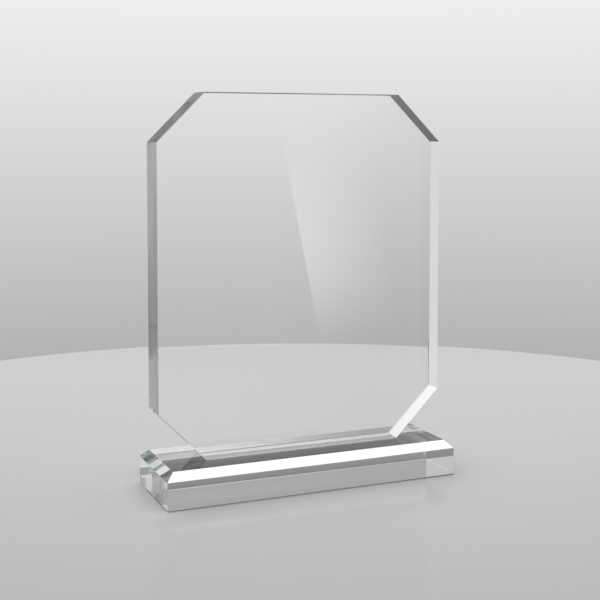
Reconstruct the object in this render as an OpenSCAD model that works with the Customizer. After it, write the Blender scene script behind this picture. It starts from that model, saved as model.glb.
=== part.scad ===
// Crystal award: a thick clear plate with four clipped corners stands on its
// lower edge on a clear base block with a bevelled top, and a thin layer of
// clear adhesive bonds the two.
// Frame: +Z up, +X to the right, the front faces -Y. The origin is the middle
// of the base's underside.

/* [Plate] */
// Width of the plate, over its two upright edges
plate_w = 177; // [130:1:240]
// Height of the plate, from its foot to its top edge
plate_h = 207; // [130:1:300]
// Thickness of the plate
plate_t = 19; // [10:0.5:24]
// Size of each clipped corner, along both of the edges that it joins
corner_clip = 28; // [8:1:50]

/* [Base] */
// Width of the base block
base_w = 178; // [130:1:250]
// Depth of the base block, front to back
base_d = 57; // [45:1:90]
// Height of the base block
base_h = 20; // [14:1:40]
// Size of the 45 degree bevel round the top of the base
base_bevel = 4.5; // [1:0.5:8]

/* [Joint and edges] */
// Thickness of the adhesive between the plate's foot and the base
bond_t = 0.15; // [0.1:0.05:0.5]
// How far the adhesive stays in from the edges of the plate's foot
bond_inset = 0.5; // [0.2:0.1:2]
// Size of the small chamfer along the plate's sharp edges
plate_arris = 0.3; // [0.1:0.1:1]
// Size of the small chamfer along the base's lower and upright edges
base_arris = 0.1; // [0.1:0.1:1]

/* [Hidden] */

crystal = [0.86, 0.90, 0.88, 0.45];
adhesive = [0.93, 0.94, 0.90, 0.60];

cut_over = 2;                      // how far a cutter runs past the ends of its edge
plate_z = base_h + bond_t;         // height of the plate's foot
foot_w = plate_w - 2 * corner_clip;

// Corners of the plate's outline, as [x, height above the foot], anticlockwise
// from the left end of the foot.
outline = [
    [-foot_w / 2, 0],
    [foot_w / 2, 0],
    [plate_w / 2, corner_clip],
    [plate_w / 2, plate_h - corner_clip],
    [foot_w / 2, plate_h],
    [-foot_w / 2, plate_h],
    [-plate_w / 2, plate_h - corner_clip],
    [-plate_w / 2, corner_clip]
];

// A square bar along X whose corners point up, down, forward and back. Centred
// on a right-angled edge, it cuts a 45 degree chamfer that is leg wide on both
// faces.
module chamfer_bar(length, leg) {
    side = leg * sqrt(2);
    rotate([45, 0, 0])
        cube([length + 2 * cut_over, side, side], center = true);
}

// Cutters for the outline's edges on the face of the plate at depth y.
module outline_cutters(y) {
    corners = len(outline);
    for (i = [0 : corners - 1]) {
        a = outline[i];
        b = outline[(i + 1) % corners];
        middle = (a + b) / 2;
        translate([middle[0], y, middle[1]])
            rotate([0, -atan2(b[1] - a[1], b[0] - a[0]), 0])
                chamfer_bar(norm(b - a), plate_arris);
    }
}

module award_plate() {
    color(crystal)
        translate([0, 0, plate_z])
            difference() {
                translate([0, plate_t / 2, 0])
                    rotate([90, 0, 0])
                        linear_extrude(height = plate_t)
                            polygon(outline);
                for (side = [-1, 1])
                    outline_cutters(side * plate_t / 2);
            }
}

// Cutters for the four edges of the block's rim at height z.
module rim_cutters(z, leg) {
    for (side = [-1, 1]) {
        translate([0, side * base_d / 2, z])
            chamfer_bar(base_w, leg);
        translate([side * base_w / 2, 0, z])
            rotate([0, 0, 90])
                chamfer_bar(base_d, leg);
    }
}

// Cutters for the block's four upright edges.
module upright_cutters(leg) {
    for (x = [-1, 1], y = [-1, 1])
        translate([x * base_w / 2, y * base_d / 2, base_h / 2])
            rotate([0, 90, 0])
                chamfer_bar(base_h, leg);
}

module base_block() {
    color(crystal)
        difference() {
            translate([-base_w / 2, -base_d / 2, 0])
                cube([base_w, base_d, base_h]);
            rim_cutters(base_h, base_bevel);
            rim_cutters(0, base_arris);
            upright_cutters(base_arris);
        }
}

// The layer lies between the base's top face and the plate's foot and touches both.
module adhesive_bond() {
    inset = plate_arris + bond_inset;
    color(adhesive)
        translate([0, 0, base_h + bond_t / 2])
            cube([foot_w - 2 * inset, plate_t - 2 * inset, bond_t], center = true);
}

base_block();
adhesive_bond();
award_plate();
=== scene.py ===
"""Looks of the crystal award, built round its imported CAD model."""

import math

import bmesh
import bpy
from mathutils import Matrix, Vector


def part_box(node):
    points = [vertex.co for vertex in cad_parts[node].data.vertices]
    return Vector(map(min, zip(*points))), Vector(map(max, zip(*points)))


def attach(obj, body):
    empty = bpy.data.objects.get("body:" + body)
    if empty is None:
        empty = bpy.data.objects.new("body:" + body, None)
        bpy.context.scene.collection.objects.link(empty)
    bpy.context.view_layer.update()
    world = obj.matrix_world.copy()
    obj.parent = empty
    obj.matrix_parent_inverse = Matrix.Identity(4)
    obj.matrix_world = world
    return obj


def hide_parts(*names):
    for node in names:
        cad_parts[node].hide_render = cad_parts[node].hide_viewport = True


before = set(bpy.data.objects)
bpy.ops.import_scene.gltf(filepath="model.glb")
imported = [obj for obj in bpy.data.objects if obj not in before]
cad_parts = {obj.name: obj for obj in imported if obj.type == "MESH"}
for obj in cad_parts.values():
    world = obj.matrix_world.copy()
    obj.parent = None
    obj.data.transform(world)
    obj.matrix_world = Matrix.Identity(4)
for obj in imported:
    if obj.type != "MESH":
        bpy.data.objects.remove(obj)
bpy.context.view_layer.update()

# Lengths are in metres, angles in degrees and greys from 0 to 1, but for softboxes that are
# brighter. An azimuth runs from +Y, straight behind the award, towards +X.

# Crystal and adhesive. The density is what a body absorbs per metre.
CRYSTAL_IOR = 1.52
BODY_COLOUR = (0.0, 0.12, 0.06, 1)
PLATE_DENSITY = 1.2
BASE_DENSITY = 0.8
CLOUD_GRAINS = 60

# The small chamfers of the plate: dull up to ARRIS_DULL_END, polished from ARRIS_CLEAR_START
# on, and also polished close to the plate's foot. The grey of a dull chamfer is partly its ground
# finish and partly painted shade for the dark lines of the left-hand edges. Faces narrower than the
# limit are arrises.
ARRIS_LIMIT = 0.0006
ARRIS_GREY_AND_SHADE = 0.4
ARRIS_GRAINS = 900
ARRIS_UNEVEN = 0.03
ARRIS_DULL_END = 0.0
ARRIS_CLEAR_START = 0.09
FOOT_CLEAR = 0.008
FOOT_DULL = 0.013

# Faces closer than this to a height count as lying on it.
FLUSH = 1e-5
# CAD faces that meet at less than this angle are one flat face.
FLAT_ANGLE = 0.5

# The floor, whose colour is painted lighter in the direction of FLOOR_AZIMUTH as a painted falloff
# of the light. The gap is the film of air under the base, which keeps its underside a mirror from
# inside.
FLOOR_RADIUS = 0.444
FLOOR_GAP = 0.0002
FLOOR_GREY = 0.463
FLOOR_PAINTED_RISE = 0.2
FLOOR_AZIMUTH = 23
FLOOR_FRONT = -0.38
FLOOR_BACK = 0.325
# Round the award its colour is painted a little lighter, a painted pool of light.
POOL_RADIUS = 0.24
POOL_BLEND = 0.15
POOL_PAINTED_LIGHT = 0.03
# Beside the base's left end it is painted lighter again, painted light against the shade that the base
# casts there.
BESIDE_WIDTH = 0.03
BESIDE_BLEND = 0.018
BESIDE_PAINTED_LIGHT = 0.13
# The contact shade under the base starts in front of it and ends at the strip of painted light.
CONTACT_GREY = 0.012
CONTACT_FRONT = 0.0035
CONTACT_SIDE = 0.0012
CONTACT_BLEND = 0.0025
# The strip under the base glows by itself: painted light, with the last of these as its brightness.
STRIP_FRONT = 0.0155
STRIP_BLEND = 0.001
STRIP_GLOW = 0.62
# The soft shade behind the base leans to the right as it runs back.
SHADOW_DEPTH = 0.48
SHADOW_SIDE = 0.004
SHADOW_LEAN = 0.3
SHADOW_LENGTH = 0.04
SHADOW_BLEND = 0.026

CAMERA_LENS = 68.63
CAMERA_SENSOR = 36
CAMERA_SHIFT = -0.1564
CAMERA_PLACE = (-0.2598, -0.6151, 0.2038)
CAMERA_AZIMUTH = 22.964
CAMERA_DIP = 3.615
# Light is followed through this many faces.
BOUNCES = 40


# Nodes


def node_material(name):
    """A new material and its node tree, with only the output node in it."""
    material = bpy.data.materials.new(name)
    material.use_nodes = True
    tree = material.node_tree
    tree.nodes.clear()
    output = tree.nodes.new("ShaderNodeOutputMaterial")
    return material, tree, output


def noise(tree, place, scale, detail):
    """Fractal noise from 0 to 1 that has about this many grains to the metre."""
    node = tree.nodes.new("ShaderNodeTexNoise")
    node.inputs["Scale"].default_value = scale
    node.inputs["Detail"].default_value = detail
    tree.links.new(place, node.inputs["Vector"])
    return node.outputs["Fac"]


def math_node(tree, operation, *values):
    node = tree.nodes.new("ShaderNodeMath")
    node.operation = operation
    for socket, value in zip(node.inputs, values):
        if isinstance(value, bpy.types.NodeSocket):
            tree.links.new(value, socket)
        else:
            socket.default_value = value
    return node.outputs["Value"]


def along(tree, direction, axis):
    """How far the direction points along an axis."""
    node = tree.nodes.new("ShaderNodeVectorMath")
    node.operation = "DOT_PRODUCT"
    tree.links.new(direction, node.inputs[0])
    node.inputs[1].default_value = axis
    return node.outputs["Value"]


def ease(tree, value, start, end, smooth=True):
    """0 up to start and 1 from end on."""
    node = tree.nodes.new("ShaderNodeMapRange")
    node.interpolation_type = "SMOOTHSTEP" if smooth else "LINEAR"
    node.inputs["From Min"].default_value = start
    node.inputs["From Max"].default_value = end
    tree.links.new(value, node.inputs["Value"])
    return node.outputs["Result"]


def mix_colours(tree, factor, first, second):
    node = tree.nodes.new("ShaderNodeMix")
    node.data_type = "RGBA"
    tree.links.new(factor, node.inputs["Factor"])
    for socket, value in ((node.inputs["A"], first), (node.inputs["B"], second)):
        if isinstance(value, bpy.types.NodeSocket):
            tree.links.new(value, socket)
        else:
            socket.default_value = value
    return node.outputs["Result"]


def mix_shaders(tree, factor, first, second):
    mix = tree.nodes.new("ShaderNodeMixShader")
    tree.links.new(factor, mix.inputs["Fac"])
    tree.links.new(first.outputs[0], mix.inputs[1])
    tree.links.new(second.outputs[0], mix.inputs[2])
    return mix


def grey(value):
    return (value, value, value, 1)


# Materials


def surface_detail(tree, place, shader, grains, height):
    """Gives the shader a relief with this many grains to the metre and this height in metres."""
    relief = tree.nodes.new("ShaderNodeBump")
    relief.inputs["Distance"].default_value = height
    tree.links.new(noise(tree, place, grains, 2), relief.inputs["Height"])
    tree.links.new(relief.outputs["Normal"], shader.inputs["Normal"])


def clear_solid(name, density, dense, thin, haze, grains, height):
    """A clear body whose faces vary from one tint to the other, with a haze and a relief."""
    material, tree, output = node_material(name)
    place = tree.nodes.new("ShaderNodeTexCoord").outputs["Object"]
    shader = tree.nodes.new("ShaderNodeBsdfPrincipled")
    shader.inputs["Transmission Weight"].default_value = 1
    shader.inputs["IOR"].default_value = CRYSTAL_IOR
    cloud = noise(tree, place, CLOUD_GRAINS, 3)
    tree.links.new(mix_colours(tree, cloud, (*dense, 1), (*thin, 1)), shader.inputs["Base Color"])
    tree.links.new(math_node(tree, "MULTIPLY", cloud, haze), shader.inputs["Roughness"])
    surface_detail(tree, place, shader, grains, height)
    tree.links.new(shader.outputs["BSDF"], output.inputs["Surface"])
    body = tree.nodes.new("ShaderNodeVolumeAbsorption")
    body.inputs["Color"].default_value = BODY_COLOUR
    body.inputs["Density"].default_value = density
    tree.links.new(body.outputs["Volume"], output.inputs["Volume"])
    return material


def crystal(name, density):
    """Polished clear crystal: hardly a trace of haze, and faces within a micron of flat."""
    return clear_solid(
        name,
        density,
        dense=(0.985, 0.989, 0.987),
        thin=(0.993, 0.997, 0.995),
        haze=0.03,
        grains=25,
        height=1e-6,
    )


def cured_adhesive():
    """Clear adhesive, a little yellower than the crystal, with a dull and uneven rim."""
    return clear_solid(
        "cured_adhesive",
        PLATE_DENSITY,
        dense=(0.97, 0.97, 0.955),
        thin=(0.99, 0.99, 0.98),
        haze=0.3,
        grains=ARRIS_GRAINS,
        height=2e-5,
    )


def ground_arris(foot):
    """The fine chamfer along the plate's edges, ground by hand and duller towards the left, where its
    grey is also painted shade for the edges' dark lines.
    """
    material, tree, output = node_material("ground_arris")
    place = tree.nodes.new("ShaderNodeTexCoord").outputs["Object"]
    grain = noise(tree, place, ARRIS_GRAINS, 2)
    uneven = math_node(tree, "MULTIPLY_ADD", grain, ARRIS_UNEVEN, along(tree, place, (1, 0, 0)))
    height = along(tree, place, (0, 0, 1))
    polish = math_node(
        tree,
        "MAXIMUM",
        ease(tree, uneven, ARRIS_DULL_END, ARRIS_CLEAR_START),
        ease(tree, height, foot + FOOT_DULL, foot + FOOT_CLEAR),
    )
    # Where dull, the chamfer is grey: its ground finish, and painted shade for the dark lines of the
    # left-hand edges.
    colour = mix_colours(tree, polish, grey(ARRIS_GREY_AND_SHADE), grey(1))
    clearness = math_node(tree, "MULTIPLY_ADD", polish, 0.8, 0.2)
    roughness = math_node(tree, "MULTIPLY_ADD", polish, -0.42, 0.5)
    shader = tree.nodes.new("ShaderNodeBsdfPrincipled")
    shader.inputs["IOR"].default_value = CRYSTAL_IOR
    tree.links.new(colour, shader.inputs["Base Color"])
    tree.links.new(clearness, shader.inputs["Transmission Weight"])
    tree.links.new(roughness, shader.inputs["Roughness"])
    surface_detail(tree, place, shader, ARRIS_GRAINS, 1e-5)
    tree.links.new(shader.outputs["BSDF"], output.inputs["Surface"])
    return material


def bonded_face():
    """A face in optical contact with the next piece: light crosses it unbent."""
    material, tree, output = node_material("bonded_face")
    shader = tree.nodes.new("ShaderNodeBsdfTransparent")
    tree.links.new(shader.outputs["BSDF"], output.inputs["Surface"])
    return material


# Pieces


def clean_copy(node, name):
    """A new object with the CAD node's shape, its flat faces whole again."""
    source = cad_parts[node]
    mesh = source.data.copy()
    mesh.name = name
    mesh.materials.clear()
    piece = bpy.data.objects.new(name, mesh)
    bpy.context.scene.collection.objects.link(piece)
    shape = bmesh.new()
    shape.from_mesh(mesh)
    bmesh.ops.remove_doubles(shape, verts=shape.verts, dist=1e-6)
    bmesh.ops.dissolve_limit(
        shape, angle_limit=math.radians(FLAT_ANGLE), verts=shape.verts, edges=shape.edges
    )
    shape.to_mesh(mesh)
    shape.free()
    for face in mesh.polygons:
        face.use_smooth = False
        face.material_index = 0
    return piece


def mark_arrises(piece, foot):
    """Gives slot 2 to the narrow faces along the edges, but for those round the plate's foot."""
    shape = bmesh.new()
    shape.from_mesh(piece.data)
    for face in shape.faces:
        narrow = 2 * face.calc_area() / face.calc_perimeter() < ARRIS_LIMIT
        if narrow and face.calc_center_median().z > foot + ARRIS_LIMIT:
            face.material_index = 2
    shape.to_mesh(piece.data)
    shape.free()


def mark_bond(piece, height, low, high):
    """Cuts the adhesive's outline into the piece's face at this height, and gives the patch slot 1."""
    shape = bmesh.new()
    shape.from_mesh(piece.data)
    for axis, place in ((0, low.x), (0, high.x), (1, low.y), (1, high.y)):
        flat = [f for f in shape.faces if all(abs(v.co.z - height) < FLUSH for v in f.verts)]
        edges = {e for f in flat for e in f.edges}
        verts = {v for f in flat for v in f.verts}
        at, normal = Vector((0, 0, height)), Vector((0, 0, 0))
        at[axis], normal[axis] = place, 1
        bmesh.ops.bisect_plane(
            shape, geom=[*flat, *edges, *verts], plane_co=at, plane_no=normal, dist=1e-7
        )
    for face in shape.faces:
        middle = face.calc_center_median()
        inside = low.x < middle.x < high.x and low.y < middle.y < high.y
        if inside and abs(middle.z - height) < FLUSH:
            face.material_index = 1
    shape.to_mesh(piece.data)
    shape.free()


def make_pieces():
    bond = bonded_face()
    low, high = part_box("adhesive_bond")
    arris = ground_arris(high.z)

    plate = clean_copy("award_plate", "plate")
    plate.data.materials.append(crystal("plate_crystal", PLATE_DENSITY))
    plate.data.materials.append(bond)
    plate.data.materials.append(arris)
    mark_arrises(plate, high.z)
    mark_bond(plate, high.z, low, high)

    base = clean_copy("base_block", "base")
    base.data.materials.append(crystal("base_crystal", BASE_DENSITY))
    base.data.materials.append(bond)
    mark_bond(base, low.z, low, high)

    film = clean_copy("adhesive_bond", "adhesive_film")
    film.data.materials.append(cured_adhesive())
    film.data.materials.append(bond)
    mark_bond(film, low.z, low, high)
    mark_bond(film, high.z, low, high)

    for piece, node, slot in (
        (plate, "award_plate", "crystal_plate"),
        (base, "base_block", "crystal_base"),
        (film, "adhesive_bond", "clear_adhesive"),
    ):
        piece.visible_diffuse = piece is base
        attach(piece, "root")
        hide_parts(node)


# Studio


def painted_light_strip(tree, place):
    """The strip of floor under the base that glows by itself, painted light for the light that its
    rear bevel lets through.
    """
    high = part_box("base_block")[1]
    across = math_node(tree, "ABSOLUTE", along(tree, place, (1, 0, 0)))
    back = along(tree, place, (0, 1, 0))
    mask = ease(tree, across, high.x, high.x - CONTACT_BLEND)
    for part in (
        ease(tree, back, STRIP_FRONT - STRIP_BLEND, STRIP_FRONT + STRIP_BLEND),
        ease(tree, back, high.y, high.y - STRIP_BLEND),
    ):
        mask = math_node(tree, "MULTIPLY", mask, part)
    return mask


def contact_shadow(tree, place):
    """The shade under the base, but for the strip that glows there as painted light, and behind it."""
    low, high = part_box("base_block")
    right = along(tree, place, (1, 0, 0))
    across = math_node(tree, "ABSOLUTE", right)
    back = along(tree, place, (0, 1, 0))
    under = ease(tree, back, low.y - CONTACT_FRONT, low.y + CONTACT_BLEND)
    for part in (
        ease(tree, back, STRIP_FRONT + STRIP_BLEND, STRIP_FRONT - STRIP_BLEND),
        ease(tree, across, high.x + CONTACT_SIDE, high.x - CONTACT_BLEND / 2),
    ):
        under = math_node(tree, "MULTIPLY", under, part)
    behind = ease(tree, back, high.y - STRIP_BLEND, high.y)
    leaning = math_node(tree, "MULTIPLY_ADD", back, -SHADOW_LEAN, right)
    left_end = low.x - SHADOW_LEAN * high.y
    right_end = high.x - SHADOW_LEAN * high.y + SHADOW_SIDE
    for part in (
        ease(tree, back, high.y + SHADOW_LENGTH, high.y + SHADOW_LENGTH - SHADOW_BLEND),
        ease(tree, leaning, left_end, left_end + CONTACT_BLEND),
        ease(tree, leaning, right_end, right_end - SHADOW_SIDE),
    ):
        behind = math_node(tree, "MULTIPLY", behind, part)
    return math_node(tree, "MULTIPLY_ADD", behind, SHADOW_DEPTH, under)


def floor_grey_and_painted_light(tree, place):
    """The floor's grey with painted light on it: lighter towards the back, round the award and beside
    its left end.
    """
    low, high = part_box("base_block")
    right = along(tree, place, (1, 0, 0))
    back = along(tree, place, (0, 1, 0))
    distance = tree.nodes.new("ShaderNodeVectorMath")
    distance.operation = "LENGTH"
    tree.links.new(place, distance.inputs[0])
    pool = ease(tree, distance.outputs["Value"], POOL_RADIUS, POOL_RADIUS - POOL_BLEND)
    beside = ease(tree, right, low.x - BESIDE_WIDTH, low.x, smooth=False)
    for part in (
        ease(tree, right, low.x + BESIDE_BLEND, low.x),
        ease(tree, math_node(tree, "ABSOLUTE", back), high.y + BESIDE_BLEND, high.y),
    ):
        beside = math_node(tree, "MULTIPLY", beside, part)
    # Painted falloff of the light: the floor's colour rises towards the back.
    ahead = facing(FLOOR_AZIMUTH, 0)[0]
    rise = ease(tree, along(tree, place, ahead), FLOOR_FRONT, FLOOR_BACK)
    paint = math_node(tree, "MULTIPLY_ADD", rise, FLOOR_PAINTED_RISE, FLOOR_GREY)
    # Painted pool of light round the award.
    painted_lift = math_node(tree, "MULTIPLY_ADD", pool, POOL_PAINTED_LIGHT, 1.0)
    # Painted light beside the base's left end, against the base's shade there.
    painted_lift = math_node(tree, "MULTIPLY_ADD", beside, BESIDE_PAINTED_LIGHT, painted_lift)
    return math_node(tree, "MULTIPLY", paint, painted_lift)


def make_floor():
    mesh = bpy.data.meshes.new("floor")
    shape = bmesh.new()
    bmesh.ops.create_circle(shape, cap_ends=True, radius=FLOOR_RADIUS, segments=256)
    shape.to_mesh(mesh)
    shape.free()
    floor = bpy.data.objects.new("floor", mesh)
    floor.location.z = -FLOOR_GAP
    bpy.context.scene.collection.objects.link(floor)
    material, tree, output = node_material("floor_paint")
    shader = tree.nodes.new("ShaderNodeBsdfPrincipled")
    shader.inputs["Roughness"].default_value = 0.1
    shader.inputs["Specular IOR Level"].default_value = 0.13
    shade = tree.nodes.new("ShaderNodeBsdfDiffuse")
    shade.inputs["Color"].default_value = grey(CONTACT_GREY)
    clear = tree.nodes.new("ShaderNodeBsdfTransparent")
    place = tree.nodes.new("ShaderNodeTexCoord").outputs["Object"]
    tree.links.new(floor_grey_and_painted_light(tree, place), shader.inputs["Base Color"])
    # The strip under the base glows by itself, painted light.
    glow = tree.nodes.new("ShaderNodeEmission")
    glow.inputs["Color"].default_value = grey(STRIP_GLOW)
    direct = mix_shaders(tree, painted_light_strip(tree, place), shader, glow)
    lit_part = mix_shaders(tree, bent_light(tree), direct, clear)
    seen = mix_shaders(tree, contact_shadow(tree, place), lit_part, shade)
    tree.links.new(seen.outputs["Shader"], output.inputs["Surface"])
    mesh.materials.append(material)


# Brightness against the sine of the elevation, from straight down to straight up:
# first of the backdrop seen straight through the crystal, then of the room that
# the crystal bends and mirrors into view.
BACKDROP = (
    (-1.0, 0.42),
    (-0.19, 0.45),
    (-0.06, 0.62),
    (0.03, 0.745),
    (0.11, 0.855),
    (0.25, 1.0),
    (1.0, 1.0),
)
ROOM = (
    (-1.0, 0.9),
    (-0.88, 0.8),
    (-0.75, 0.5),
    (-0.52, 0.15),
    (-0.42, 0.2),
    (-0.3, 0.36),
    (-0.1, 0.46),
    (0.1, 0.46),
    (0.2, 0.42),
    (0.34, 0.4),
    (0.5, 0.5),
    (1.0, 0.6),
)

# Softboxes and flats round the room: azimuth, elevation, half width, half height, softness
# and brightness. Where two overlap, the later one is in front.
ROOM_CARDS = (
    (-42, -2, 18, 13, 3, 0.76),
    (-42, 17, 18, 8, 3, 0.57),
    (-28, 34, 24, 9, 3, 0.96),
    (-38, 46, 24, 7, 3, 1.2),
    (24, 44, 36, 8, 3, 1.13),
    (64, 20, 12, 9, 3, 0.85),
    (-161, 15, 8, 6, 3, 0.65),
    (-162, 0, 10, 6, 3, 0.25),
    (116, 20, 16, 10, 3, 0.75),
    (125, 64, 30, 8, 3, 0.9),
    (45, 67, 12, 8, 3, 0.82),
    (41, -67, 12, 6, 3, 0.45),
    (70, 32, 8, 6, 3, 0.45),
    (52, 32, 8, 5, 3, 0.3),
    (162, -8, 12, 14, 3, 0.35),
    (168, -17, 10, 7, 5, 1.0),
    (17, 2.5, 3, 2.5, 1, 0.1),
    (-17, -1, 2.5, 3, 1.5, 0.2),
    (24, -2, 3, 3, 1.5, 0.9),
    (164, 1, 12, 4, 2.5, 0.47),
    (16, -9, 12, 2.5, 2.5, 0.2),
    (164, -9, 12, 2.5, 2.5, 0.2),
    (-151, -6, 6, 11, 2, 0.0),
    (-165, -17, 12, 8, 3, 0.8),
    (-115, 21, 14, 8, 3, 0.9),
    (-140, 44, 30, 8, 3, 0.7),
)
# What the outer faces mirror is the backdrop, with these.
MIRROR_CARDS = (
    (172, -6, 16, 16, 3, 1.25),
    (163, 6, 30, 6, 4, 1.75),
    (144, -6, 9, 14, 4, 0.1),
    (14, 16, 42, 12, 4, 0.53),
)
# The bright window that the plate's front mirrors: its edge's middle and its lean from
# upright, how far it fades away from that edge and along it, and its brightness.
WINDOW_AZIMUTH = 157.02
WINDOW_ELEVATION = -5.35
WINDOW_LEAN = -10.7
WINDOW_FADE = 0.075
WINDOW_TOP = 0.118
WINDOW_WAIST = -0.012
WINDOW_BOTTOM = -0.108
WINDOW_BRIGHTNESS = 3.8


def brightness_by_height(tree, height, steps):
    """A ramp of greys over the sine of the elevation."""
    span = tree.nodes.new("ShaderNodeMapRange")
    span.inputs["From Min"].default_value = -1
    tree.links.new(height, span.inputs["Value"])
    ramp = tree.nodes.new("ShaderNodeValToRGB")
    while len(ramp.color_ramp.elements) < len(steps):
        ramp.color_ramp.elements.new(0.5)
    for step, (sine, value) in zip(ramp.color_ramp.elements, steps):
        step.position = (sine + 1) / 2
        step.color = grey(value)
    tree.links.new(span.outputs["Result"], ramp.inputs["Fac"])
    return ramp.outputs["Color"]


def facing(azimuth, elevation, lean=0):
    """The way to a card and its own right and up, for a card that leans over to its left."""
    turn, painted_lift, tilt = (math.radians(angle) for angle in (azimuth, elevation, lean))
    ahead = Vector((math.sin(turn) * math.cos(painted_lift), math.cos(turn) * math.cos(painted_lift), math.sin(painted_lift)))
    level = Vector((math.cos(turn), -math.sin(turn), 0))
    upright = level.cross(ahead)
    right = level * math.cos(tilt) + upright * math.sin(tilt)
    return ahead, right, right.cross(ahead)


def on_card(tree, direction, ahead, axis):
    """Where the direction meets a card's plane, measured along the card's own axis."""
    return math_node(tree, "DIVIDE", along(tree, direction, axis), along(tree, direction, ahead))


def inside_card(tree, direction, azimuth, elevation, half_width, half_height, softness):
    """1 where the direction meets a flat rectangular card, with soft edges, and 0 elsewhere."""
    ahead, right, up = facing(azimuth, elevation)
    mask = math_node(tree, "GREATER_THAN", along(tree, direction, ahead), 0)
    for axis, half_angle in ((right, half_width), (up, half_height)):
        offset = math_node(tree, "ABSOLUTE", on_card(tree, direction, ahead, axis))
        outer, inner = (math.tan(math.radians(half_angle + sign * softness)) for sign in (1, -1))
        mask = math_node(tree, "MULTIPLY", mask, ease(tree, offset, outer, inner))
    return mask


def inside_window(tree, direction):
    """1 at the waist of the window's sharp edge, fading away from it."""
    ahead, right, up = facing(WINDOW_AZIMUTH, WINDOW_ELEVATION, WINDOW_LEAN)
    mask = math_node(tree, "GREATER_THAN", along(tree, direction, ahead), 0)
    inward = on_card(tree, direction, ahead, -right)
    height = on_card(tree, direction, ahead, up)
    for part in (
        ease(tree, inward, 0, 0.002),
        ease(tree, inward, WINDOW_FADE, 0, smooth=False),
        ease(tree, height, WINDOW_TOP, WINDOW_WAIST),
        ease(tree, height, WINDOW_BOTTOM, WINDOW_WAIST),
    ):
        mask = math_node(tree, "MULTIPLY", mask, part)
    return mask


def with_cards(tree, direction, surround, cards):
    for *shape, brightness in cards:
        mask = inside_card(tree, direction, *shape)
        surround = mix_colours(tree, mask, surround, grey(brightness))
    return surround


def bent_light(tree, background=False):
    """1 for light that a facet has turned, so that it met three or more faces, and 0 otherwise."""
    # A background counts the ray's own last step as one more face.
    straight = 3 if background else 2
    path = tree.nodes.new("ShaderNodeLightPath")
    deep = math_node(tree, "GREATER_THAN", path.outputs["Ray Depth"], straight + 0.5)
    return math_node(tree, "GREATER_THAN", deep, path.outputs["Is Diffuse Ray"])


def mirrored_light(tree):
    """1 for light mirrored by an outer face, and 0 for light that came through one."""
    path = tree.nodes.new("ShaderNodeLightPath")
    glossy = path.outputs["Is Glossy Ray"]
    return math_node(tree, "GREATER_THAN", glossy, path.outputs["Is Transmission Ray"])


def make_backdrop():
    world = bpy.data.worlds.new("studio")
    bpy.context.scene.world = world
    world.use_nodes = True
    world.cycles.sampling_method = "NONE"
    tree = world.node_tree
    tree.nodes.clear()
    direction = tree.nodes.new("ShaderNodeTexCoord").outputs["Generated"]
    height = along(tree, direction, (0, 0, 1))
    backdrop = brightness_by_height(tree, height, BACKDROP)
    mirrored = with_cards(tree, direction, backdrop, MIRROR_CARDS)
    mirrored = mix_colours(tree, inside_window(tree, direction), mirrored, grey(WINDOW_BRIGHTNESS))
    room = with_cards(tree, direction, brightness_by_height(tree, height, ROOM), ROOM_CARDS)
    seen = mix_colours(tree, bent_light(tree, background=True), backdrop, room)
    light = tree.nodes.new("ShaderNodeBackground")
    output = tree.nodes.new("ShaderNodeOutputWorld")
    tree.links.new(mix_colours(tree, mirrored_light(tree), seen, mirrored), light.inputs["Color"])
    tree.links.new(light.outputs["Background"], output.inputs["Surface"])


def make_camera():
    lens = bpy.data.cameras.new("camera")
    lens.lens = CAMERA_LENS
    lens.sensor_width = CAMERA_SENSOR
    lens.shift_y = CAMERA_SHIFT
    lens.clip_start = 0.01
    camera = bpy.data.objects.new("camera", lens)
    bpy.context.scene.collection.objects.link(camera)
    camera.location = CAMERA_PLACE
    camera.rotation_euler = (math.radians(90 - CAMERA_DIP), 0, math.radians(-CAMERA_AZIMUTH))
    bpy.context.scene.camera = camera


def set_quality():
    scene = bpy.context.scene
    scene.view_settings.view_transform = "Standard"
    cycles = scene.cycles
    cycles.max_bounces = BOUNCES
    cycles.transmission_bounces = BOUNCES
    cycles.glossy_bounces = BOUNCES
    cycles.transparent_max_bounces = BOUNCES
    cycles.use_denoising = True
    cycles.caustics_refractive = True
    cycles.caustics_reflective = True


make_camera()
make_pieces()
make_floor()
make_backdrop()
set_quality()
